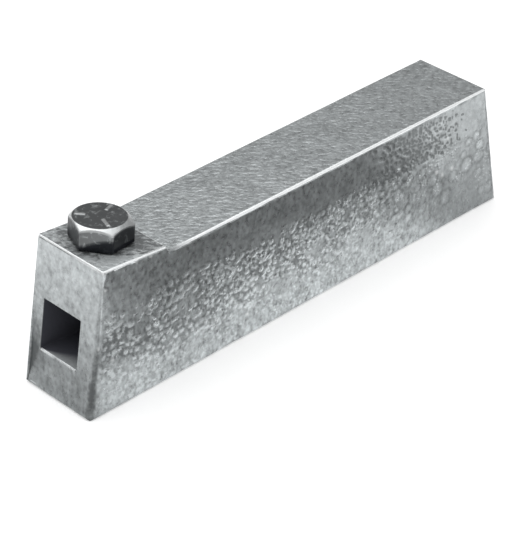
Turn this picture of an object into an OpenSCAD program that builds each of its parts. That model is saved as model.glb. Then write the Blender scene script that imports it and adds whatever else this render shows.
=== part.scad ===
// Straight tool bit holder: a cast block shank with a square bit socket in its nose
// and a hexagon head clamp screw. The nose points along -X, up is +Z, and the origin
// is in the middle of the foot.

/* [Shank] */
// Length along the foot
shank_len = 149.3; // [120:0.1:200]
// Width at the foot
shank_w = 24.4; // [22:0.1:32]
// Height of the plain top above the foot
shank_h = 37.2; // [35:0.1:39]
// Casting draft of each side, in degrees
side_draft = 0.3; // [0:0.1:1]
// Backward lean of the nose face, in degrees
nose_lean = 9.4; // [4:0.1:14]
// Forward lean of the heel face, in degrees
heel_lean = 10.5; // [4:0.1:16]

/* [Rounded edges] */
// Radius along the edges of the foot
foot_edge_r = 1.0; // [0.4:0.1:1.4]
// Radius along the long edges of the plain top
top_edge_r = 0.8; // [0.3:0.1:1.2]
// Radius around the pad and along the top of the nose
pad_edge_r = 0.5; // [0.2:0.1:0.8]
// Radius of the near nose corner at the pad
nose_corner_top_r = 0.5; // [0.2:0.1:0.9]
// Radius of the near nose corner at the foot
nose_corner_foot_r = 2.2; // [1.2:0.1:3]
// Radius of the far nose corner
far_corner_r = 0.6; // [0.2:0.1:1]
// Radius of the heel corners at the top
heel_corner_top_r = 0.8; // [0.3:0.1:1]
// Radius of the heel corners at the foot
heel_corner_foot_r = 1.6; // [1.2:0.1:2.4]

/* [Screw pad] */
// Height of the front edge of the pad above the foot
pad_h = 40.5; // [40:0.1:44]
// Length of the pad along the holder
pad_len = 19.9; // [18:0.1:26]
// Fall of the pad and of the bit socket towards the heel, in degrees
pad_slope = 5; // [3:0.1:6]
// Length of the sloping step from the pad down to the plain top
step_len = 0.6; // [0.3:0.1:1.5]
// Radius at the foot of the step
step_foot_r = 0.6; // [0.3:0.1:1]

/* [Bit socket] */
// Side of the square tool bit
bit_size = 12.7; // [8:0.1:13.5]
// Play between the bit and the cast socket, across the whole width
bit_play = 1.0; // [0.4:0.1:1.4]
// Height of the sill of the socket above the foot
sill_h = 11.5; // [8:0.1:13]
// Depth of the socket along its floor
socket_depth = 82; // [50:1:100]
// Distance of the socket from the middle, towards the far side
socket_shift = 0.9; // [0:0.1:1.5]
// Radius in the long corners of the socket
socket_corner_r = 0.3; // [0.2:0.1:1.5]
// Bevel of the sill at the mouth
sill_bevel = 0.3; // [0.2:0.1:1]

/* [Clamp screw] */
// Outside diameter of the screw thread
thread_d = 9.525; // [6:0.005:11]
// Play between the thread and its hole, on the radius
thread_play = 0.05; // [0.03:0.01:0.1]
// Length of the screw below its head
screw_len = 19.05; // [18:0.05:24]
// Length of the bevelled screw point
point_len = 1.1; // [0.5:0.1:2]
// Width of the hexagon head across its flats
head_af = 14.29; // [11:0.01:15]
// Height of the head, with its washer face
head_h = 6.5; // [5:0.1:8]
// Height of the washer face under the head
washer_face_h = 0.4; // [0.2:0.1:0.8]
// Diameter of the flat on top of the head
head_flat_d = 13.2; // [10:0.1:14]
// Angle of the bevel round the top of the head, in degrees
head_bevel = 40; // [20:1:45]
// Turn of the head about the screw, in degrees
head_turn = 9.2; // [0:0.1:60]
// Distance of the screw behind the front edge of the pad
screw_back = 10; // [9:0.1:12]
// Distance of the screw from the middle, towards the far side
screw_shift = 0.4; // [0:0.1:1.5]

/* [Hidden] */

// Extra length of a cutting shape past the surface that it cuts
over = 1;
// Facets of a full circle
fine = 96;

// Place of the nose face and of the heel face at a height above the foot
function nose_x(z) = -shank_len / 2 + z * tan(nose_lean);
function heel_x(z) = shank_len / 2 - z * tan(heel_lean);
// Half of the width at a height above the foot
function half_w(z) = shank_w / 2 - z * tan(side_draft);

pad_front_x = nose_x(pad_h);
pad_rear_x = pad_front_x + pad_len;
pad_rear_h = pad_h - pad_len * tan(pad_slope);
socket_size = bit_size + bit_play;
sill_x = nose_x(sill_h);
// Thickness of metal between the pad and the roof of the socket, square to both
roof_t = (pad_h - sill_h + (pad_front_x - sill_x) * tan(pad_slope)) * cos(pad_slope) - socket_size;
bore_r = thread_d / 2 + thread_play;

// Unit vector from one point to another
function way(from, to) = (to - from) / norm(to - from);
// Half of the angle at corner p of an outline, between its neighbours a and b
function half_angle(p, a, b) = acos(way(p, a) * way(p, b)) / 2;
// Where an arc of radius r in corner p meets the side towards a
function arc_end(p, a, b, r) = p + way(p, a) * r / tan(half_angle(p, a, b));
// Centre of that arc
function arc_centre(p, a, b, r) =
    p + way([0, 0], way(p, a) + way(p, b)) * r / sin(half_angle(p, a, b));

// Outline with a round corner at each point. An inside corner has a negative radius.
module rounded_outline(points, radii) {
    n = len(points);
    function before(i) = points[(i + n - 1) % n];
    function after(i) = points[(i + 1) % n];
    difference() {
        union() {
            polygon([for (i = [0:n - 1]) each [
                arc_end(points[i], before(i), after(i), abs(radii[i])),
                arc_end(points[i], after(i), before(i), abs(radii[i]))]]);
            for (i = [0:n - 1]) if (radii[i] > 0)
                translate(arc_centre(points[i], before(i), after(i), radii[i]))
                    circle(radii[i], $fn = fine);
        }
        for (i = [0:n - 1]) if (radii[i] < 0)
            translate(arc_centre(points[i], before(i), after(i), -radii[i]))
                circle(-radii[i], $fn = fine);
    }
}

// Section of what a round edge of radius r takes off a square one. The edge is at the
// origin, and the metal lies on its +X and +Y sides.
module edge_section(r) {
    difference() {
        translate([-over, -over]) square(r + over);
        translate([r, r]) circle(r, $fn = fine);
    }
}

// Bar of that section along the X axis, with the metal on its +Y and +Z sides
module edge_waste(r, length) {
    rotate([90, 0, 90]) linear_extrude(length) edge_section(r);
}

// What a corner whose radius grows from top_r down to foot_r takes off a square one.
// The corner is on the Z axis, and the metal lies on its +X and +Y sides. The round
// is a cone that touches both faces, with its tip on the corner above the metal.
module corner_waste(top_r, foot_r, height) {
    growth = (foot_r - top_r) / height;
    tip_h = foot_r / growth;
    reach = tip_h + over;
    wide = foot_r + 2 * over;
    tilt = atan(growth * sqrt(2));
    cone_angle = asin(sin(tilt) * sin(45));
    translate([0, 0, tip_h]) difference() {
        intersection() {
            rotate([0, -atan(growth), 0])
                translate([-wide, -wide, -reach]) cube([wide, 2 * wide, reach]);
            rotate([atan(growth), 0, 0])
                translate([-wide, -wide, -reach]) cube([2 * wide, wide, reach]);
        }
        rotate([0, -tilt, 45]) translate([0, 0, -2 * reach])
            cylinder(h = 2 * reach, r1 = 2 * reach * tan(cone_angle), r2 = 0, $fn = fine);
    }
}

// Side view of the casting: foot, leaning heel, plain top, step, sloping pad, nose
module side_view() {
    rounded_outline(
        [[-shank_len / 2, 0], [shank_len / 2, 0], [heel_x(shank_h), shank_h],
            [pad_rear_x + step_len, shank_h], [pad_rear_x, pad_rear_h], [pad_front_x, pad_h]],
        [foot_edge_r, foot_edge_r, top_edge_r, -step_foot_r, pad_edge_r, pad_edge_r]);
}

// Casting with its draft and with square long edges
module drafted_block() {
    tall = pad_h + over;
    intersection() {
        rotate([90, 0, 0]) linear_extrude(shank_w + 2 * over, center = true) side_view();
        rotate([90, 0, 90]) linear_extrude(shank_len + 2 * over, center = true)
            polygon([[-half_w(0), 0], [half_w(0), 0], [half_w(tall), tall], [-half_w(tall), tall]]);
    }
}

// What the round edges of the near side take off, apart from the nose corner. The far
// side is the same, mirrored.
module side_waste() {
    translate([-shank_len / 2 - over, -half_w(0), 0])
        edge_waste(foot_edge_r, shank_len + 2 * over);
    translate([pad_rear_x + step_len, -half_w(shank_h), shank_h])
        mirror([0, 0, 1]) edge_waste(top_edge_r, shank_len);
    translate([pad_front_x, -half_w(pad_h), pad_h]) rotate([0, pad_slope, 0])
        mirror([0, 0, 1]) translate([-over, 0, 0]) edge_waste(pad_edge_r, pad_len + over);
    translate([shank_len / 2, -half_w(0), 0]) rotate([-side_draft, -heel_lean, 0])
        mirror([1, 0, 0])
            corner_waste(heel_corner_top_r, heel_corner_foot_r, shank_h / cos(heel_lean));
}

// What the round nose corners take off. The near one grows towards the foot.
module nose_waste() {
    translate([-shank_len / 2, -half_w(0), 0]) rotate([-side_draft, nose_lean, 0])
        corner_waste(nose_corner_top_r, nose_corner_foot_r, pad_h / cos(nose_lean));
    translate([-shank_len / 2, half_w(0), 0]) rotate([side_draft, nose_lean, 0])
        mirror([0, 1, 0]) translate([0, 0, -over])
            linear_extrude(pad_h / cos(nose_lean) + 2 * over) edge_section(far_corner_r);
}

// Moves to the sill of the socket, with +X down the socket's slope
module at_sill() {
    translate([sill_x, socket_shift, sill_h]) rotate([0, pad_slope, 0]) children();
}

// Moves to where the screw goes through the pad, with +Z up the screw
module at_screw() {
    translate([pad_front_x, screw_shift, pad_h]) rotate([0, pad_slope, 0])
        translate([screw_back, 0, 0]) children();
}

// Square space for the tool bit, with its mouth in the nose and a closed far end
module bit_socket() {
    half = socket_size / 2;
    mouth = socket_size;
    at_sill() {
        translate([-mouth, 0, 0]) rotate([90, 0, 90]) linear_extrude(mouth + socket_depth)
            rounded_outline(
                [[-half, 0], [half, 0], [half, socket_size], [-half, socket_size]],
                [for (i = [1:4]) socket_corner_r]);
        rotate([0, 45, 0]) cube([sill_bevel * sqrt(2), socket_size - 2 * socket_corner_r,
            sill_bevel * sqrt(2)], center = true);
    }
}

// Hole for the screw thread, from the pad down into the socket
module screw_hole() {
    at_screw() {
        translate([0, 0, -roof_t - over]) cylinder(h = roof_t + 2 * over, r = bore_r, $fn = fine);
        translate([0, 0, -washer_face_h])
            cylinder(h = 2 * washer_face_h, r1 = bore_r, r2 = bore_r + 2 * washer_face_h, $fn = fine);
    }
}

// Cast block with its socket and screw hole
module holder_body() {
    color([0.66, 0.68, 0.69]) difference() {
        drafted_block();
        side_waste();
        mirror([0, 1, 0]) side_waste();
        nose_waste();
        bit_socket();
        screw_hole();
    }
}

// Screw head: a hexagon with a bevelled top on a round washer face
module screw_head() {
    corner_r = head_af / sqrt(3);
    drop = (corner_r - head_flat_d / 2) * tan(head_bevel);
    cylinder(h = washer_face_h + over / 2, d = head_af * 0.95, $fn = fine);
    intersection() {
        rotate([0, 0, head_turn]) translate([0, 0, washer_face_h])
            cylinder(h = head_h - washer_face_h, r = corner_r, $fn = 6);
        union() {
            cylinder(h = head_h - drop, r = corner_r + over, $fn = fine);
            translate([0, 0, head_h - drop])
                cylinder(h = drop, r1 = corner_r, r2 = head_flat_d / 2, $fn = fine);
        }
    }
}

// Screw body at the outside diameter of its thread, with a bevelled point
module screw_body() {
    thread_r = thread_d / 2;
    rotate_extrude($fn = fine) polygon([
        [0, -screw_len], [thread_r - point_len, -screw_len], [thread_r, point_len - screw_len],
        [thread_r, over / 2], [0, over / 2]]);
}

// Hexagon head screw, seated on the pad
module clamp_screw() {
    color([0.42, 0.44, 0.46]) at_screw() {
        screw_head();
        screw_body();
    }
}

holder_body();
clamp_screw();
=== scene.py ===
import math
import random
import bmesh
import bpy
from mathutils import Matrix, Vector, noise


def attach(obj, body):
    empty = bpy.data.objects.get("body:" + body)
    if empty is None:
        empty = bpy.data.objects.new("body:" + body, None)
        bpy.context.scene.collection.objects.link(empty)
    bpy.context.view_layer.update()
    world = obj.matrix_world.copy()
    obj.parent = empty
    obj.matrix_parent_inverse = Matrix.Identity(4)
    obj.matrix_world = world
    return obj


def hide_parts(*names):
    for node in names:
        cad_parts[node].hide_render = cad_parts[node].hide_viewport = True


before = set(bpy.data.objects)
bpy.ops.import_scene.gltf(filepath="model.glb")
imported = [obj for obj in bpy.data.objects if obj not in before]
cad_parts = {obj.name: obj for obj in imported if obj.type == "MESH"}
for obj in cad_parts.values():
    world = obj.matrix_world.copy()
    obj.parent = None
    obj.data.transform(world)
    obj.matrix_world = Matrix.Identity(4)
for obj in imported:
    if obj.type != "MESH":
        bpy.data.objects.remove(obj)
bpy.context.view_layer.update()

mm = 0.001  # the scene is in metres, and the sizes below are in millimetres


class Signal:  # one output of a node, so that maths on surface values reads as plain maths
    def __init__(self, finish, socket):
        self.finish = finish
        self.socket = socket

    def maths(self, operation, *values):
        return self.finish.node("ShaderNodeMath", {"operation": operation}, *values)

    def __add__(self, other):
        return self.maths("ADD", self, other)

    def __radd__(self, other):
        return self.maths("ADD", other, self)

    def __sub__(self, other):
        return self.maths("SUBTRACT", self, other)

    def __rsub__(self, other):
        return self.maths("SUBTRACT", other, self)

    def __mul__(self, other):
        return self.maths("MULTIPLY", self, other)

    def __rmul__(self, other):
        return self.maths("MULTIPLY", other, self)


class Finish:  # one material, or the world, and the nodes it is made of
    def __init__(self, owner):
        self.owner = owner
        owner.use_nodes = True
        self.tree = owner.node_tree
        self.tree.nodes.clear()

    def node(self, kind, settings=None, *values, take=0, **named):
        made = self.tree.nodes.new(kind)
        for key, value in (settings or {}).items():
            setattr(made, key, value)
        for key, value in [*enumerate(values), *named.items()]:
            socket = self.findSocket(made, key)
            if isinstance(value, Signal):
                self.tree.links.new(value.socket, socket)
            elif value is not None:
                socket.default_value = value
        return Signal(self, made.outputs[take]) if made.outputs else None

    def findSocket(self, made, key):  # by number, or by name with _ in place of blanks
        if isinstance(key, int):
            return made.inputs[key]
        wanted = key.replace("_", " ")
        return next(s for s in made.inputs if s.name == wanted or s.identifier == key)

    def place(self):  # place on the piece, in metres
        return self.node("ShaderNodeTexCoord", take="Object")

    def coordinate(self, axis):  # one part of that place, in millimetres
        return self.node("ShaderNodeSeparateXYZ", None, self.place(), take=axis) * (1 / mm)

    def mask(self, name):  # a value that the mesh code left on the vertices
        return self.node("ShaderNodeAttribute", {"attribute_name": name}, take="Fac")

    def rise(self, value, low, high, bottom=0.0, top=1.0):  # smooth step between two levels
        return self.node(
            "ShaderNodeMapRange", {"interpolation_type": "SMOOTHSTEP"},
            value, low, high, bottom, top)

    def stretched(self, stretch):  # place, with each axis drawn out
        return self.node("ShaderNodeVectorMath", {"operation": "MULTIPLY"}, self.place(), stretch)

    def slanted(self):  # place, drawn out along the diagonal of the top face
        x, y, z = (self.coordinate(axis) * mm for axis in range(3))
        return self.node("ShaderNodeCombineXYZ", None, (x + y) * 0.75, (x - y) * 0.45, z)

    def cloud(self, size, detail=2.0, roughness=0.5, distortion=0.0, where=None):
        # soft noise whose patches are about that many millimetres wide
        return self.node(
            "ShaderNodeTexNoise", None, Vector=where or self.place(), Scale=1 / (size * mm),
            Detail=detail, Roughness=roughness, Distortion=distortion)

    def cells(self, size, smoothness):  # distance from the middles of round cells
        return self.node(
            "ShaderNodeTexVoronoi", {"feature": "SMOOTH_F1"}, Vector=self.place(),
            Scale=1 / (size * mm), Smoothness=smoothness, take="Distance")

    def blend(self, share, first, second):  # colour mix
        return self.node(
            "ShaderNodeMix", {"data_type": "RGBA"}, take=2,
            Factor_Float=share, A_Color=first, B_Color=second)

    def surface(self, shader):
        self.node("ShaderNodeOutputMaterial", None, shader)
        return self.owner


def newFinish(name):
    return Finish(bpy.data.materials.new(name))


def addObject(name, mesh, *materials):
    piece = bpy.data.objects.new(name, mesh)
    bpy.context.scene.collection.objects.link(piece)
    for material in materials:
        mesh.materials.append(material)
    return piece


def smoothStep(low, high, value):
    t = min(max((value - low) / (high - low), 0), 1)
    return t * t * (3 - 2 * t)


holderLook = {
    "length": 149.3,
    "width": 24.4,
    "noseLean": 9.4,           # backward lean of the nose face, in degrees
    "padFront": (-67.945, 40.5),  # front edge of the pad: x and z
    "padRear": -48.0,
    "padFoot": 38.0,           # all of the pad is higher than this, the shank is lower
    "slope": 5,                # fall of the pad and the socket, in degrees
    "shankTop": 37.2,
    "sill": (-72.746, 11.5),   # lower front edge of the socket: x and z
    "socketSide": 13.7,
    "socketShift": 0.9,        # to the far side
    "socketEnd": 12,           # the socket and its closed end lie before this x
    "seat": (-57.983, 0.4),    # where the screw goes through the pad
    "seatHeight": 39.6,        # of the pad there
    "holeRadius": 6,           # faces this near to the screw's axis belong to its hole
    "grid": 0.49,              # mesh size of the cast skin
    "footGrid": 1.6,
    "sliver": 0.12,            # shorter edges beside the round nose corner are merged
    "swell": 0.10,             # slow waves of the cast faces
    "ripple": 0.035,           # short waves
    "endRipple": 0.12,         # waves at both ends of the sides
    "beadHeight": 0.15,        # cast beads on the sides
    "beadSize": 0.68,          # radius of a common bead
    "beadSpread": (0.65, 1.45),  # smallest and largest, as shares of that
    "beadRise": (0.5, 1.15),   # lowest and highest, as shares of the bead height
    "beadSpacing": 0.92,       # nearest distance, as a share of both radii
    "beadTries": 12000,
    "pitPlace": (41, 6),       # patch of pits near the heel: middle and spread along the shank
    "pitHeights": (24, 36.5),
    "pitSize": (0.35, 0.7),    # radius
    "pitDepth": (-1.5, -0.8),  # as shares of the bead height
    "pitTries": 1500,
    "creaseDepth": 1.10,       # of the bent corner low on the nose
    "seed": 7,
    "lumps": [                 # flaws on the near edges, each with a painted glint on its top: place, radius and height
        ((-57.7, -12.2, 38.9), 0.60, 0.12), ((-53.2, -12.2, 38.4), 0.75, 0.14),
        ((-67.5, -12.2, 35.3), 0.60, 0.18), ((-70.6, -12.2, 19.8), 0.55, 0.16),
        ((-40.8, -12.2, 24.2), 0.60, 0.24), ((-66.4, -12.2, 14.9), 0.55, 0.20),
        ((-21.8, -12.2, 6.8), 0.60, 0.18), ((52.8, -12.2, 27.7), 0.55, 0.20),
        ((48.9, -12.2, 18.8), 0.80, 0.14), ((51.1, -12.2, 17.2), 0.80, 0.14),
        ((55.0, -12.2, 17.6), 0.75, 0.14), ((-72.4, 4.3, 11.9), 0.50, 0.12),
    ],
}


def splitFaces(bm, faces, axis, low, high, step):
    # cuts the faces by every grid plane between low and high, halving the set each time
    cuts = int(round((high - low) / step))
    if cuts < 1 or not faces:
        return
    middle = low + (cuts // 2) * step
    if cuts > 1:
        normal = Vector((0, 0, 0))
        normal[axis] = 1
        edges = {e for f in faces for e in f.edges}
        verts = {v for f in faces for v in f.verts}
        made = bmesh.ops.bisect_plane(
            bm, geom=[*verts, *edges, *faces], dist=1e-6, plane_co=normal * middle, plane_no=normal)
        faces = [g for g in made["geom"] if isinstance(g, bmesh.types.BMFace)]
        lower = [f for f in faces if f.calc_center_median()[axis] < middle]
        upper = [f for f in faces if f.calc_center_median()[axis] >= middle]
        splitFaces(bm, lower, axis, low, middle, step)
        splitFaces(bm, upper, axis, middle, low + cuts * step, step)


def noseX(z):  # x of the nose face at a height, for numbers and for surface values alike
    return -holderLook["length"] / 2 + z * math.tan(math.radians(holderLook["noseLean"]))


def fallBehind(x, start):  # how much a sloping face has dropped, from its front end to a place
    return (x - start) * math.tan(math.radians(holderLook["slope"]))


def socketFloor(x):
    sillX, sillZ = holderLook["sill"]
    return sillZ - fallBehind(x, sillX)


def upperEdge(x):  # height of the upper edge of a side
    look = holderLook
    if x > look["padRear"]:
        return look["shankTop"]
    frontX, frontZ = look["padFront"]
    return frontZ - fallBehind(x, frontX)


def isOutside(point):  # true for the outer faces, false in the socket and the screw hole
    look = holderLook
    x, y, z = point
    slack = 0.2
    floor = socketFloor(x)
    roof = floor + look["socketSide"] / math.cos(math.radians(look["slope"])) + slack
    inX = noseX(z) + 1.5 * slack < x < look["socketEnd"]
    inY = abs(y - look["socketShift"]) < look["socketSide"] / 2 + slack
    if inX and inY and floor - 1.5 * slack < z < roof:
        return False
    seatX, seatY = look["seat"]
    axisX = seatX - (look["seatHeight"] - z) * math.sin(math.radians(look["slope"]))
    across = math.hypot(x - axisX, y - seatY)
    return not (across < look["holeRadius"] and roof - 0.5 < z < look["seatHeight"] - slack)


def castBlock():
    look = holderLook
    bm = bmesh.new()
    bm.from_mesh(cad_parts["holder_body"].data)
    for v in bm.verts:
        v.co /= mm
    bmesh.ops.remove_doubles(bm, verts=bm.verts, dist=0.001)
    bmesh.ops.dissolve_limit(
        bm, angle_limit=math.radians(0.3), verts=bm.verts, edges=bm.edges)

    def outer(test):
        bm.normal_update()
        return [f for f in bm.faces if isOutside(f.calc_center_median()) and test(f.normal)]

    grid, footGrid = look["grid"], look["footGrid"]
    halfLength, halfWidth, height = 75, 12.6, 41  # a little more than the casting's
    splitFaces(bm, outer(lambda n: n.z > -0.3), 0, -halfLength, halfLength, grid)
    splitFaces(bm, outer(lambda n: n.z <= -0.3), 0, -halfLength, halfLength, footGrid)
    splitFaces(bm, outer(lambda n: abs(n.z) < 0.8), 2, 0, height, grid)
    splitFaces(bm, outer(lambda n: n.z > 0.2 or abs(n.x) > 0.5), 1, -halfWidth, halfWidth, grid * 1.5)
    splitFaces(bm, outer(lambda n: n.z <= -0.9), 1, -8 * footGrid, 8 * footGrid, footGrid)
    # slivers beside the round near corner of the nose would show as a line
    corner = [
        v for v in bm.verts
        if v.co.x < noseX(v.co.z) + 3 and v.co.y < -9 and 0.5 < v.co.z < look["padFoot"]]
    bmesh.ops.remove_doubles(bm, verts=corner, dist=look["sliver"])
    bm.normal_update()
    return bm


class Field:  # beads and pits on a side face, found fast by their place
    def __init__(self, cell):
        self.cell = cell
        self.boxes = {}

    def box(self, x, z):
        return int(x // self.cell), int(z // self.cell)

    def add(self, dot):
        self.boxes.setdefault(self.box(dot[0], dot[1]), []).append(dot)

    def near(self, x, z):
        i, j = self.box(x, z)
        for a in (i - 1, i, i + 1):
            for b in (j - 1, j, j + 1):
                yield from self.boxes.get((a, b), ())

    def isFree(self, x, z, radius):
        spacing = holderLook["beadSpacing"]
        return all(
            math.hypot(x - px, z - pz) > spacing * (radius + other)
            for px, pz, other, *shape in self.near(x, z))

    def height(self, x, z):  # of the highest dome or the deepest pit, and how much painted shade lies beside it, between the beads
        best = gapShade = 0.0
        for px, pz, radius, rise, turn, stretch in self.near(x, z):
            u, w = x - px, z - pz
            along = u * math.cos(turn) + w * math.sin(turn)
            across = w * math.cos(turn) - u * math.sin(turn)
            d = ((along / stretch) ** 2 + (across * stretch ** 0.4) ** 2) / radius ** 2
            if d < 1:
                level = rise * (1 - d) ** 1.2
                best = level if abs(level) > abs(best) else best
            elif rise > 0:
                gapShade = max(gapShade, smoothStep(2.6, 1.2, d))
        return best, gapShade * (best == 0)


def beadChance(x, z):  # how thick the cast beads lie at a place on a side face
    crowd = smoothStep(-0.4, 0.05, noise.noise(Vector((x / 8 + z / 14, z / 8, 3.1))))
    crowd *= 1 - 0.4 * smoothStep(-50, -62, x)
    crowd *= 1 - 0.6 * smoothStep(13, 8, z) * smoothStep(-55, -45, x)
    crowd *= 1 - 0.985 * smoothStep(20, 42, x)  # few at the heel
    lift = 2 * smoothStep(-35, -15, x)          # they end lower down behind the pad
    return smoothStep(28.5, 26, z + lift) * crowd


def scatterBeads(rng):
    look = holderLook
    field = Field(cell=3.0)
    for k in range(look["beadTries"]):
        x, z = rng.uniform(-74, 74), rng.uniform(1, 30)
        low = smoothStep(10, 6, z)
        rear = smoothStep(25, 48, x)
        radius = look["beadSize"] + 0.18 * smoothStep(-30, -55, x) - 0.16 * low + 0.8 * rear
        radius *= rng.uniform(*look["beadSpread"])
        rise = (1 - 0.4 * low) * (1 - 0.5 * smoothStep(-5, 25, x)) * (1 - 0.4 * rear)
        rise *= rng.uniform(*look["beadRise"])
        if rng.random() > beadChance(x, z):
            continue
        if field.isFree(x, z, radius):
            stretch = 1 + rng.random() ** 2 * 0.8 * (1 - rear)
            field.add((x, z, radius, rise, rng.gauss(0.5, 0.35), stretch))
    for k in range(look["pitTries"]):
        x, z = rng.gauss(*look["pitPlace"]), rng.uniform(*look["pitHeights"])
        radius = rng.uniform(*look["pitSize"])
        if field.isFree(x, z, radius):
            field.add((x, z, radius, rng.uniform(*look["pitDepth"]), 0, 1))
    return field


def creaseAt(y, z):  # how far outside the crease a place on the nose lies, up to 1 at the edge
    look = holderLook
    corner = look["socketShift"] + look["socketSide"] / 2
    edge = look["width"] / 2
    sill = look["sill"][1]
    line = corner + max(1 - z / sill, 0) * (edge - 0.4 - corner)
    return min(max((y - line) / (edge - line), 0), 1)


def castWave(p, side, foot, flat):  # slow unevenness of the cast faces
    look = holderLook
    wave = look["swell"] * noise.noise(p / 11 + Vector((3, 7, 1)))
    wave += look["ripple"] * noise.noise(p / 3.1)
    ends = smoothStep(36, 50, p.x) + smoothStep(-44, -58, p.x)
    wave += look["endRipple"] * side * ends * noise.noise(p / 4)
    wave *= 1 - 0.8 * (1 - flat) * (p.z > 30)       # the upper edges stay nearly straight
    wave -= foot * (wave + 0.02 + 0.2 * abs(wave))  # the foot stays just off the floor
    if p.z > look["padFoot"]:  # the pad is even around the screw
        fromSeat = math.hypot(p.x - look["seat"][0], p.y - look["seat"][1])
        wave *= smoothStep(6.5, 10, fromSeat) * 0.7
    return wave


def beadAt(field, x, z):  # relief of a bead or pit at a place on a side, and its painted light: lighter on the bead, painted shade between beads
    look = holderLook
    top = look["shankTop"] - 0.3 + 3 * (x < look["padRear"])
    fade = smoothStep(0.3, 1.6, z) * smoothStep(0.3, 2.2, top - z) * smoothStep(1.0, 3.2, x - noseX(z))
    level, gapShade = field.height(x, z)
    shine = min(level * 1.4, 1.0)
    # painted shade beside the beads and on the ground where they crowd
    shine -= 0.3 * gapShade + 0.22 * beadChance(x, z) * (1 - abs(shine))
    shine *= 1 - 0.45 * smoothStep(19, 8, z)  # fainter towards the foot
    return look["beadHeight"] * level * fade, shine * fade


def lumpAt(p):  # height of the lumps at a place, and how near the top of one it is
    height = share = 0.0
    for place, radius, rise in holderLook["lumps"]:
        level = 1 - (Vector(place) - p).length_squared / radius ** 2
        if level > 0:
            height += rise * level
            share = max(share, level)
    return height, share


def edgeDullAndShade(x, z, n, flat):  # painted shade and extra roughness on the rounded edges that get no painted highlight
    dullAndShade = 0.0
    if x < 0 and z < holderLook["padFoot"]:  # near corner of the nose: painted shade, darker towards the foot
        corner = smoothStep(0.02, 0.5, -n.x) * smoothStep(0.02, 0.5, -n.y)
        fade = (0.3 + 0.7 * smoothStep(20, 9, z)) * (0.4 + 0.6 * smoothStep(0, 4, z))
        dullAndShade = corner * smoothStep(44, 34, z) * fade
    if z > 36:  # painted shade on the near edge of the shank, so that it brightens only some way behind the pad
        dullAndShade = max(dullAndShade, (1 - flat) * smoothStep(-48.2, -47.2, x) * smoothStep(-38, -46, x))
    return dullAndShade


def isSillLip(p, end, foot):  # the front edge of the socket floor, which gets a painted highlight over its wear
    look = holderLook
    onLip = abs(p.z - look["sill"][1]) < 0.5 and p.x < noseX(p.z) + 0.6
    return onLip and end < 0.95 and foot < 0.5 and abs(p.y - look["socketShift"]) < look["socketSide"] / 2


def shapeSkin(bm):
    # moves each vertex along its normal and returns the masks that the finish uses
    look = holderLook
    rng = random.Random(look["seed"])
    nearBeads = scatterBeads(rng)
    farBeads = scatterBeads(rng)
    masks = {name: [] for name in ("side", "top", "nose", "pad", "bead", "rubbedAndHighlit", "dullAndShade")}
    moves = []
    for v in bm.verts:
        p = v.co.copy()
        x, y, z = p
        n = v.normal
        out = isOutside(p + n * 0.05)
        side = smoothStep(0.75, 0.98, abs(n.y)) * out
        top, end, foot = (smoothStep(0.8, 0.97, level) * out for level in (n.z, abs(n.x), -n.z))
        flat = smoothStep(0.94, 0.995, max(abs(n.x), abs(n.y), abs(n.z)))  # 0 on rounded edges
        edge = upperEdge(x)
        # the rounded upper edges are painted lighter: partly wear, partly painted highlight
        rubbedAndHighlit = out * smoothStep(edge - 1.0, edge - 0.5, z) * (1 - flat)
        rubbedAndHighlit *= max(smoothStep(-48, -38, x), smoothStep(-47.2, -48.2, x))
        bead = dullAndShade = wave = 0.0
        if out:
            wave = castWave(p, side, foot, flat)
            if side > 0.5:
                relief, bead = beadAt(nearBeads if y < 0 else farBeads, x, z)
                wave += relief
            if x < 0 and end > 0.5:
                crease = creaseAt(y, z)
                fade = smoothStep(26, 4, z) * (1 - 0.5 * smoothStep(3, 0, z))
                wave -= look["creaseDepth"] * crease * fade
                # painted shade along the bent corner low on the nose
                dullAndShade = 1.3 * smoothStep(0, 0.15, crease) * smoothStep(16, 9, z)
            dullAndShade = max(dullAndShade, edgeDullAndShade(x, z, n, flat))
            if y < 0 or z < 13:
                relief, share = lumpAt(p)
                wave += relief
                # painted glint on the tops of the lumps
                rubbedAndHighlit = max(rubbedAndHighlit, share)
            if isSillLip(p, end, foot):
                # painted highlight, broken by noise, along the lip
                rubbedAndHighlit = 0.4 + 0.5 * noise.noise(p / 1.5)
        pad = top * smoothStep(look["padFoot"] - 0.4, look["padFoot"] + 0.4, z)
        for name, value in (("side", side), ("top", top), ("nose", end), ("pad", pad),
                            ("bead", bead), ("rubbedAndHighlit", rubbedAndHighlit), ("dullAndShade", dullAndShade)):
            masks[name].append(value)
        moves.append(wave)
    for v, move in zip(list(bm.verts), moves):
        v.co += v.normal * move
    return masks


def makeHolder(skin, socket):
    bm = castBlock()
    masks = shapeSkin(bm)
    for f in bm.faces:
        f.smooth = True
        f.material_index = 0 if isOutside(f.calc_center_median()) else 1
    for v in bm.verts:
        v.co *= mm
    mesh = bpy.data.meshes.new("holder_casting")
    bm.to_mesh(mesh)
    bm.free()
    for name, values in masks.items():
        mesh.attributes.new(name, "FLOAT", "POINT").data.foreach_set("value", values)
    mesh.set_sharp_from_angle(angle=math.radians(40))
    piece = addObject("holder_casting", mesh, skin, socket)
    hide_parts("holder_body")
    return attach(piece, "holder")


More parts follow.
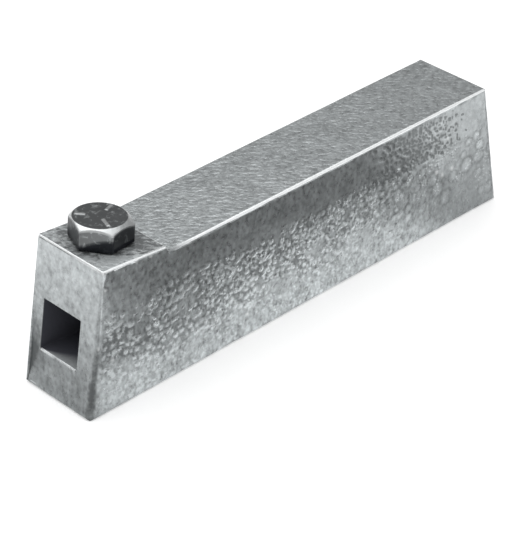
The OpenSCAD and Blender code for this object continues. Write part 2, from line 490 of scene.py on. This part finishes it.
skinLook = {
    "shade": (0.240, 0.254, 0.258, 1),
    "color": (0.780, 0.824, 0.836, 1),
    # colour of worn edges, made lighter as a painted highlight
    "rubbedAndHighlit": (0.870, 0.890, 0.895, 1),
    "roughness": 0.30,
    "metallic": 0.95,
    "streakSize": 1.1,         # texture of the side and the nose, in millimetres
    "streakHeight": 0.016,
    "leatherSize": 1.2,        # texture of the top
    "leatherHeight": 0.260,
    "grainSize": 0.7,          # grain all over
    "grainHeight": 0.010,
    "dotSize": 1.05,           # fine dots between the beads
    "dotHeight": 0.090,
    "mottleSize": 2.2,         # lighter and darker spots
    "patchSize": 5,            # large soft patches
    "middle": 0.47,            # tone of a plain place, from 0 for the shade to 1 for the colour
    "beadPaintedHighlight": 0.90,         # painted highlight: how far the beads are lighter
    # painted shade: how much darker the crease, the nose corner and the shank's front edge are
    "dullShade": 0.50,
    "frontPaintedLight": 0.18,        # painted light low on the side beside the nose, with painted shade above it
    "bandShade": 0.23,         # painted shade: a smooth darker band along the top of each side, a painted dark reflection
    # painted shade on the top face, growing towards the heel
    "topShade": 0.12,
    "stainAndShade": (0.130, 0.138, 0.141, 1),  # on the pad
    "scuffedAndLit": (0.560, 0.590, 0.598, 1),
    "stainLevel": -0.32,       # lower for more stains
}


def padStainsAndPaintedLight(skin, x, y):  # colour of the pad: stains, painted shade (partly stain) around the screw and towards its rear, and painted light at the near front
    look = skinLook
    seatX, seatY = holderLook["seat"]
    seat = (seatX * mm, seatY * mm, holderLook["seatHeight"] * mm)
    fromScrew = skin.node(
        "ShaderNodeVectorMath", {"operation": "DISTANCE"}, skin.place(), seat, take=1) * (1 / mm)
    cleanAndLit = skin.cloud(1.5, 3, 0.65, 0.4, where=skin.slanted()) * 1.7 + look["stainLevel"]
    # painted light at the near front of the pad
    cleanAndLit = cleanAndLit + skin.rise(y + x * 0.5, -34, -42) * 0.33
    # painted shade, partly stain, around the screw and towards the rear of the pad
    cleanAndLit = cleanAndLit - skin.rise(fromScrew, 11.5, 8) * 0.08 - skin.rise(x, -62, -52) * 0.16
    return skin.blend(skin.rise(cleanAndLit, 0.26, 0.80), look["stainAndShade"], look["scuffedAndLit"])


def castSkin():
    look = skinLook
    skin = newFinish("cast_skin_detailed")
    side, top, nose, pad = (skin.mask(name) for name in ("side", "top", "nose", "pad"))
    bead, rubbedAndHighlit, dullAndShade = (skin.mask(name) for name in ("bead", "rubbedAndHighlit", "dullAndShade"))
    walls = skin.node("ShaderNodeMath", {"operation": "MAXIMUM"}, side, nose)
    x, y, z = (skin.coordinate(axis) for axis in range(3))

    streaks = skin.cloud(look["streakSize"], 1, 0.45, where=skin.stretched((1, 1, 0.75)))
    leather = skin.cloud(look["leatherSize"], 3, 0.55, 0.3, where=skin.slanted())
    texture = leather + (streaks - leather) * walls
    grain = skin.cloud(look["grainSize"], 1, 0.5)
    spots = skin.cloud(look["mottleSize"], 1, 0.5)
    patches = skin.cloud(look["patchSize"], 3, 0.6)
    dots = skin.rise(skin.cells(look["dotSize"], 0.3), 0.55, 0.1) * side
    dots = dots * skin.rise(z, 28, 26) * skin.rise(skin.cloud(3.5, 1), 0.42, 0.58)
    height = (leather - 0.5) * look["leatherHeight"] * top + (streaks - 0.5) * look["streakHeight"] * walls
    height = height + grain * look["grainHeight"] + dots * look["dotHeight"]
    bump = skin.node("ShaderNodeBump", None, Strength=1.0, Distance=mm, Height=height * (1 - rubbedAndHighlit))

    # the smooth band of painted shade above the beads is narrower and fainter at the nose, and ends before
    # the heel
    band = side * skin.rise(z + skin.rise(x, -32, -12) * 2.4, 25.0, 28.0)
    band = band * skin.rise(x, -22, 6, 0.6, 1.0) * skin.rise(x, 48, 38) * skin.rise(x, -52, -40)
    quiet = band * 0.50 + side * skin.rise(x, 40, 56) * 0.50 + nose * 0.30  # smoother places
    mottle = (texture - 0.5) * (0.5 + walls * 0.5) + (grain - 0.5) * (0.6 - walls * 0.15)
    mottle = mottle + (spots - 0.5) * (0.5 + walls * 0.3)
    # painted light low on the side beside the nose, painted shade higher up
    front = look["frontPaintedLight"] - skin.rise(z, 9, 15) * skin.rise(z, 26, 20) * 0.40
    tone = look["middle"] + mottle * (1 - quiet) + (patches - 0.5) * (0.4 + nose * 0.3)
    # painted highlight on the beads, painted shade on the crease, the nose corner and the shank's edge
    tone = tone + bead * look["beadPaintedHighlight"] + dots * 0.15 - dullAndShade * look["dullShade"]
    tone = tone + side * skin.rise(x, -50, -62) * front - band * look["bandShade"]
    # painted shade on the top face, growing towards the heel
    tone = tone - top * skin.rise(x, -70, 70, 1.0, 1.4) * look["topShade"]
    color = skin.blend(tone, look["shade"], look["color"])
    color = skin.blend(pad, color, padStainsAndPaintedLight(skin, x, y))
    # edges, lump tops and the socket lip: partly wear, partly painted highlight
    color = skin.blend(rubbedAndHighlit, color, look["rubbedAndHighlit"])
    roughness = look["roughness"] + (texture - 0.5) * 0.2 + (rubbedAndHighlit + dullAndShade) * 0.2 - bead * 0.06
    return skin.surface(skin.node(
        "ShaderNodeBsdfPrincipled", None, Base_Color=color, Metallic=look["metallic"] - pad * 0.45,
        Roughness=roughness, Normal=bump))


socketLook = {
    # painted light at the mouth, and painted shade deeper in
    "mouth": (0.260, 0.275, 0.280, 1),
    "deep": (0.050, 0.052, 0.064, 1),
    "wallReach": 0.3,          # how far the painted light goes in, in millimetres
    "floorReach": 7.5,
    "roughness": 0.65,
    "grainHeight": 0.05,
}


def socketSkin():  # dark inside and deeper in painted shade, with painted light on the floor and around the mouth
    look = socketLook
    deep = newFinish("socket_skin_detailed")
    x, y, z = (deep.coordinate(axis) for axis in range(3))
    depth = x - noseX(z)
    aboveFloor = z - socketFloor(x)
    # the painted light on the floor reaches deeper on the near side; the far side of the floor stays in
    # painted shade
    nearSide = deep.rise(y, 8, -5)
    reach = look["wallReach"] + look["floorReach"] * deep.rise(aboveFloor, 1.2, 0.2) * nearSide
    grain = deep.cloud(0.8, 3, 0.6)
    light = deep.rise(depth, reach, 0.0) * (0.6 + grain * 0.8)
    bump = deep.node("ShaderNodeBump", None, Strength=1.0, Distance=mm, Height=grain * look["grainHeight"])
    return deep.surface(deep.node(
        "ShaderNodeBsdfPrincipled", None, Base_Color=deep.blend(light, look["deep"], look["mouth"]),
        Metallic=0.2, Roughness=look["roughness"] + (grain - 0.5) * 0.2, Normal=bump,
        Specular_IOR_Level=0.15))


screwLook = {
    "seat": (-57.983, 0.4, 39.628),
    "tilt": 5,                 # of the screw's axis, towards the heel, in degrees
    "headAcross": 14.29,       # across the flats
    "headHeight": 6.5,
    "washerHeight": 0.4,
    "washerDiameter": 13.576,
    "flatDiameter": 13.5,
    "flatShift": (-0.28, 0.27),  # the bevel was turned a little off the middle
    "flatDip": 0.05,           # of the flat below its rim
    "bevel": 40,               # in degrees
    "turn": 9.2,               # of the hexagon, in degrees
    "cornerSoft": 0.25,
    "marks": [(-109, 1.8, 5.6), (22, 3.2, 6.2), (131, 3.5, 6.2)],  # grade lines: turn, from, to
    "markHeight": 0.18,
    "markWidth": 0.80,
    "bevelFade": (205, 260),   # the painted highlight on the bevel is fainter past this turn
    "underShadeTurn": (189, 252),   # the painted shade under the head climbs over this facet
    "underShadeLow": 0.16,          # share of the facet's height
    "underShadeHigh": 0.50,
    "threadDiameter": 9.525,
    "pitch": 1.5875,
    "length": 19.05,
    "pointLength": 1.1,        # of the bevelled end
}


def ringMesh(bm, rings):  # joins rings of equal length by quads, and closes the first and last
    # the fourth value of each point is its wear and painted light, from -1 for painted shade to 1 for
    # bright
    wearAndPaintedLight = bm.verts.layers.float.get("wearAndPaintedLight") or bm.verts.layers.float.new("wearAndPaintedLight")
    rows = []
    for ring in rings:
        row = []
        for x, y, z, bright in ring:
            v = bm.verts.new((x, y, z))
            v[wearAndPaintedLight] = bright
            row.append(v)
        rows.append(row)
    count = len(rows[0])
    for upper, lower in zip(rows, rows[1:]):
        for i in range(count):
            j = (i + 1) % count
            bm.faces.new((upper[i], lower[i], lower[j], upper[j]))
    for row, flip in ((rows[0], 1), (rows[-1], -1)):
        bm.faces.new(row[::flip])


def hexRadius(angle, look):  # distance from the axis to the facets, with soft corners
    half = look["headAcross"] / 2
    sixth = math.pi / 3
    turned = (angle - math.radians(look["turn"]) + sixth / 2) % sixth - sixth / 2
    flat = half / math.cos(sixth / 2 - abs(turned))
    corner = half / math.cos(sixth / 2) - look["cornerSoft"] * 0.35
    soft = look["cornerSoft"] * 0.2
    return -soft * math.log(math.exp(-flat / soft) + math.exp(-corner / soft))


def markRise(r, a, look):  # height share of the grade lines at a place on the head
    for turn, start, end in look["marks"]:
        along = r * math.cos(a - math.radians(turn))
        across = abs(r * math.sin(a - math.radians(turn)))
        if start - 0.3 < along < end + 0.3 and across < look["markWidth"]:
            share = smoothStep(look["markWidth"] * 0.8, look["markWidth"] * 0.3, across)
            share *= smoothStep(start - 0.2, start + 0.15, along)
            return share * smoothStep(end + 0.15, end - 0.2, along)
    return 0.0


def facetPaintedLight(down, a, look):  # painted highlight at the top of a facet, painted shade from some way down
    start, end = (math.radians(turn) for turn in look["underShadeTurn"])
    share = ((a - start) % (2 * math.pi)) / (end - start)
    paintedUnderShade = look["underShadeLow"] + (look["underShadeHigh"] * share if share < 1 else 0)
    paintedLight = 0.1 + 0.1 * share if share < 1 else -0.5 * smoothStep(0.05, 0.2, down)
    return paintedLight + 0.35 * (down < 0.1) - smoothStep(1 - paintedUnderShade - 0.1, 1 - paintedUnderShade + 0.1, down)


def headRings(look):
    steps = 360
    angles = [2 * math.pi * i / steps for i in range(steps)]
    flatR = look["flatDiameter"] / 2
    fall = math.tan(math.radians(look["bevel"]))
    top = look["headHeight"]
    shiftX, shiftY = look["flatShift"]
    rings = []

    def addRing(radius, height, bright, shift=0.0):
        # radius is a number or a function of the angle, height and bright also of the radius
        ring = []
        for a in angles:
            r = radius(a) if callable(radius) else radius
            x, y = r * math.cos(a) + shiftX * shift, r * math.sin(a) + shiftY * shift
            z = height(r, a) if callable(height) else height
            b = bright(r, a) if callable(bright) else bright
            ring.append((x, y, z, b))
        rings.append(ring)

    def bevelHeight(r, a, shift=0.0):
        x, y = r * math.cos(a) + shiftX * (shift - 1), r * math.sin(a) + shiftY * (shift - 1)
        return top - (math.hypot(x, y) - flatR) * fall

    def topHeight(r, a):
        x, y = r * math.cos(a), r * math.sin(a)
        rough = 0.05 * noise.noise(Vector((x / 3, y / 3, 5))) + 0.02 * noise.noise(Vector((x, y, 9)))
        return top - look["flatDip"] + look["markHeight"] * markRise(r, a, look) + rough

    circles = 44
    for k in range(1, circles):  # the flat with its grade lines
        addRing(flatR * k / circles, topHeight, lambda r, a: 0.5 * markRise(r, a, look), 1)
    addRing(flatR - 0.06, top, 0.0, 1)
    # painted highlight on the rim of the flat
    addRing(flatR + 0.05, top - 0.05, 0.6, 1)
    for share in (0.1, 0.33, 0.66, 0.93, 1.0):  # the bevel, bright with wear and a painted highlight
        edge = 0.06 * smoothStep(0.9, 1, share)
        addRing(
            lambda a: flatR + 0.05 + (hexRadius(a, look) - flatR - 0.05) * share,
            lambda r, a: bevelHeight(r, a, 1 - share) - edge,
            lambda r, a: 1 - 0.45 * smoothStep(*look["bevelFade"], math.degrees(a)), 1 - share)
    soft = 0.12
    levels = 20
    for k in range(levels + 1):  # the facets, between two soft edges, with painted light and shade
        def facetHeight(r, a):
            high = bevelHeight(r, a) - soft
            return high + (look["washerHeight"] + soft - high) * k / levels
        addRing(lambda a: hexRadius(a, look), facetHeight, lambda r, a: facetPaintedLight(k / levels, a, look))
    washer = look["washerDiameter"] / 2
    # painted shade on the washer face under the head
    addRing(lambda a: hexRadius(a, look) - soft, look["washerHeight"], -1.0)
    for r, z in ((washer + 0.05, look["washerHeight"]), (washer, look["washerHeight"] - 0.06),
                 (washer, 0.05), (washer - 0.05, 0.0), (4.9, 0.0)):
        addRing(r, z, -1.0)
    return rings


def threadRings(look):
    steps = 72
    rowsPerTurn = 14
    inHead = 0.3               # the rod starts this far inside the head
    major = look["threadDiameter"] / 2
    depth = 0.6134 * look["pitch"]
    rows = int(look["length"] / look["pitch"] * rowsPerTurn)
    rings = []
    for k in range(rows + 1):
        z = inHead - (look["length"] + inHead) * k / rows
        fromTip = z + look["length"]
        point = major - max(look["pointLength"] - fromTip, 0)
        ring = []
        for i in range(steps):
            a = 2 * math.pi * i / steps
            phase = (z / look["pitch"] - a / (2 * math.pi)) % 1.0
            tooth = min(max((abs(phase - 0.5) * 2 - 0.125) / 0.75, 0), 1)
            r = min(major - depth * (1 - tooth) * smoothStep(-0.6, -2.6, z), point)
            ring.append((r * math.cos(a), r * math.sin(a), z, 0.0))
        rings.append(ring)
    return rings


def makeScrew(material):
    look = screwLook
    bm = bmesh.new()
    ringMesh(bm, headRings(look))
    ringMesh(bm, threadRings(look))
    bmesh.ops.recalc_face_normals(bm, faces=bm.faces)
    seat = Matrix.Translation(Vector(look["seat"]))
    bm.transform(seat @ Matrix.Rotation(math.radians(look["tilt"]), 4, "Y"))
    for v in bm.verts:
        v.co *= mm
    for f in bm.faces:
        f.smooth = True
    mesh = bpy.data.meshes.new("hexagon_clamp_screw")
    bm.to_mesh(mesh)
    bm.free()
    mesh.set_sharp_from_angle(angle=math.radians(28))
    piece = addObject("hexagon_clamp_screw", mesh, material)
    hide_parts("clamp_screw")
    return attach(piece, "screw")


steelLook = {
    "color": (0.100, 0.105, 0.108, 1),
    "patch": (0.330, 0.346, 0.350, 1),
    # colour of wear and of the painted highlights on the head
    "wearAndPaintedLight": (0.740, 0.760, 0.765, 1),
    # painted shade under the head
    "paintedUnderShade": (0.012, 0.013, 0.018, 1),
    "roughness": 0.34,
    "blotchSize": 1.5,         # in millimetres
    "blotchHeight": 0.03,
    "fineSize": 0.4,
    "fineHeight": 0.01,
}


def screwSteel():
    look = steelLook
    steel = newFinish("screw_steel_detailed")
    blotches = steel.cloud(look["blotchSize"], 4, 0.6, 0.4)
    fine = steel.cloud(look["fineSize"])
    wearAndPaintedLight = steel.mask("wearAndPaintedLight")
    height = blotches * look["blotchHeight"] + fine * look["fineHeight"]
    bump = steel.node("ShaderNodeBump", None, Strength=1.0, Distance=mm, Height=height)
    color = steel.blend(steel.rise(blotches, 0.52, 0.72), look["color"], look["patch"])
    # wear on the grade lines, wear and painted highlight on the bevel and the facet tops
    color = steel.blend(wearAndPaintedLight * steel.rise(blotches, 0.25, 0.5, 0.75, 1.0), color, look["wearAndPaintedLight"])
    color = steel.blend(wearAndPaintedLight * -1, color, look["paintedUnderShade"])  # painted shade under the head, where the mask is below 0
    shader = steel.node(
        "ShaderNodeBsdfPrincipled", None, Base_Color=color, Metallic=0.95,
        Roughness=look["roughness"] + (blotches - 0.5) * 0.2, Normal=bump)
    return steel.surface(shader)


studio = {
    "floorColor": (0.84, 0.84, 0.84, 1),
    "floorSize": 6.0,
    "floorLift": 0.28,         # added to the floor where the camera or a reflection sees it
    "skyLevel": 0.50,
    "boxSize": 0.90,           # of the soft overhead lamp, in metres
    "boxHeight": 0.62,
    "boxShift": -0.03,         # towards the nose
    "boxPower": 3.6,
    "keySize": (0.34, 0.45),   # lamp that draws the bright edges and the glints on the beads
    "keyAhead": (0.56, -0.77, 0.20),
    "keyDistance": 0.85,
    "keyPower": 0.85,
    "backSize": (0.34, 0.22),  # lamp that draws the front edge of the pad
    "backAhead": (-0.15, 0.64, 0.75),
    "backDistance": 0.80,
    "backPower": 0.55,
    "wallAhead": (-0.565, -0.608, 0.558),  # dark card behind the camera
    "wallDistance": 0.9,
    "wallSize": (0.70, 0.60),
    "wallLevel": 0.03,
    "shadeLevel": 0.05,        # of the dark card on the floor, which shows only in reflections
    "shadeStep": 6,
    "shadeAcross": (-240, 240),  # reach of that card, x and y
    "shadeAlong": (-300, 120),
    "shadeZones": [            # x from and to, y from and to, softness and strength, in millimetres
        ((-48, 400), (-400, -32.5), 15, 0.90),
        ((-400, -21), (-44, -23), 9, 0.46),
        ((50, 140), (-38, -5), 10, 0.50),
        ((-104, -72), (-75, -12), 6, 0.62),
        ((-112, -60), (-22, 60), 26, 0.58),
        ((-400, -66), (-30, 115), 20, 0.13),
        ((-88, -50), (22, 80), 6, 0.75),
    ],
    "shadeFade": (63, 81, 0.20),  # the first zone weakens from here to here, down to this share
}


def seenDirectly(finish):  # 1 for the camera and for reflections
    camera = finish.node("ShaderNodeLightPath", take="Is Camera Ray")
    glossy = finish.node("ShaderNodeLightPath", take="Is Glossy Ray")
    clear = finish.node("ShaderNodeLightPath", take="Is Transmission Ray")
    return finish.node("ShaderNodeClamp", None, camera + glossy + clear, 0.0, 1.0)


def glow(finish, level):
    return finish.node("ShaderNodeEmission", None, Color=(1, 1, 1, 1), Strength=level)


def addStage(name, corners, faces, material):
    mesh = bpy.data.meshes.new(name)
    mesh.from_pydata(corners, [], faces)
    card = addObject(name, mesh, material)
    return card


def addCard(name, w, h, material):  # flat card around the origin, from half its width and height
    corners = [(-w, -h, 0), (w, -h, 0), (w, h, 0), (-w, h, 0)]
    return addStage(name, corners, [(0, 1, 2, 3)], material)


def hideFromView(card):  # leaves the card in reflections alone
    card.visible_camera = False
    card.visible_diffuse = False
    card.visible_shadow = False
    card.visible_transmission = False


def facing(ahead, distance):  # a place that far off, turned so that its face looks back at the holder
    away = Vector(ahead).normalized()
    return Matrix.Translation(away * distance) @ away.to_track_quat("Z", "Y").to_matrix().to_4x4()


def shadeAt(x, y):  # how much of the dark card is there at a place on the floor, from 0 to 1
    look = studio
    clear = 1.0
    for k, ((left, right), (near, far), soft, strength) in enumerate(look["shadeZones"]):
        share = smoothStep(left - soft, left + soft, x) * smoothStep(right + soft, right - soft, x)
        share *= smoothStep(near - soft, near + soft, y) * smoothStep(far + soft, far - soft, y)
        if k == 0:
            start, end, rest = look["shadeFade"]
            share *= 1 - (1 - rest) * smoothStep(start, end, x)
        clear *= 1 - share * strength
    return 1 - clear


def makeShade():
    step = studio["shadeStep"]
    left, right = studio["shadeAcross"]
    near, far = studio["shadeAlong"]
    across = range(left, right + 1, step)
    along = range(near, far + 1, step)
    justAbove = 0.3
    corners = [(x * mm, y * mm, justAbove * mm) for y in along for x in across]
    shades = [shadeAt(x, y) for y in along for x in across]
    row = len(across)
    faces = [
        (j * row + i, j * row + i + 1, (j + 1) * row + i + 1, (j + 1) * row + i)
        for j in range(len(along) - 1) for i in range(row - 1)]
    dark = newFinish("shade_card")
    clear = dark.node("ShaderNodeBsdfTransparent")
    dark.surface(dark.node(
        "ShaderNodeMixShader", None, dark.mask("shade"), clear, glow(dark, studio["shadeLevel"])))
    card = addStage("shade_card", corners, faces, dark.owner)
    card.data.attributes.new("shade", "FLOAT", "POINT").data.foreach_set("value", shades)
    hideFromView(card)


def makeLamp(name, size, power, place):
    lamp = bpy.data.lights.new(name, "AREA")
    lamp.shape = "RECTANGLE"
    lamp.size, lamp.size_y = size
    lamp.energy = power
    box = bpy.data.objects.new(name, lamp)
    box.matrix_world = place
    bpy.context.scene.collection.objects.link(box)


def makeStudio():
    look = studio
    paper = newFinish("floor_paper")
    diffuse = paper.node("ShaderNodeBsdfDiffuse", None, Color=look["floorColor"])
    lift = glow(paper, seenDirectly(paper) * look["floorLift"])
    paper.surface(paper.node("ShaderNodeAddShader", None, diffuse, lift))
    half = look["floorSize"] / 2
    addCard("floor", half, half, paper.owner)
    makeShade()

    dark = newFinish("dark_wall")
    dark.surface(glow(dark, look["wallLevel"]))
    width, height = look["wallSize"]
    wall = addCard("dark_wall", width / 2, height / 2, dark.owner)
    wall.matrix_world = facing(look["wallAhead"], look["wallDistance"])
    hideFromView(wall)

    sky = Finish(bpy.data.worlds.new("studio"))
    seen = sky.node("ShaderNodeLightPath", take="Is Camera Ray")
    level = look["skyLevel"] + (1 - look["skyLevel"]) * seen  # the backdrop itself is white
    sky.node("ShaderNodeOutputWorld", None, sky.node(
        "ShaderNodeBackground", None, Color=(1, 1, 1, 1), Strength=level))
    bpy.context.scene.world = sky.owner

    overhead = Matrix.Translation((look["boxShift"], 0, look["boxHeight"]))
    makeLamp("overhead_box", (look["boxSize"], look["boxSize"]), look["boxPower"], overhead)
    for name in ("key", "back"):
        place = facing(look[name + "Ahead"], look[name + "Distance"])
        makeLamp(name + "_box", look[name + "Size"], look[name + "Power"], place)


cameraLook = {
    "place": (-0.35391, -0.36011, 0.33619),
    "yaw": 0.77061,            # angles in radians
    "pitch": 0.58246,
    "roll": -0.00217,
    "lens": 152.12,            # in millimetres, like the sensor
    "sensor": 36,
}


def makeCamera():
    look = cameraLook
    yaw, pitch, roll = look["yaw"], look["pitch"], look["roll"]
    ahead = Vector((
        math.sin(yaw) * math.cos(pitch), math.cos(yaw) * math.cos(pitch), -math.sin(pitch)))
    level = Vector((math.cos(yaw), -math.sin(yaw), 0))
    upright = level.cross(ahead)
    right = level * math.cos(roll) + upright * math.sin(roll)
    up = upright * math.cos(roll) - level * math.sin(roll)
    data = bpy.data.cameras.new("camera")
    data.sensor_width = look["sensor"]
    data.lens = look["lens"]
    data.clip_start, data.clip_end = 0.01, 20
    camera = bpy.data.objects.new("camera", data)
    turn = Matrix((right, up, -ahead)).transposed().to_4x4()
    camera.matrix_world = Matrix.Translation(Vector(look["place"])) @ turn
    bpy.context.scene.collection.objects.link(camera)
    bpy.context.scene.camera = camera


bpy.context.scene.view_settings.view_transform = "Standard"
makeHolder(castSkin(), socketSkin())
print("holder casting built")
makeScrew(screwSteel())
print("clamp screw built")
makeStudio()
makeCamera()
print("studio and camera set")
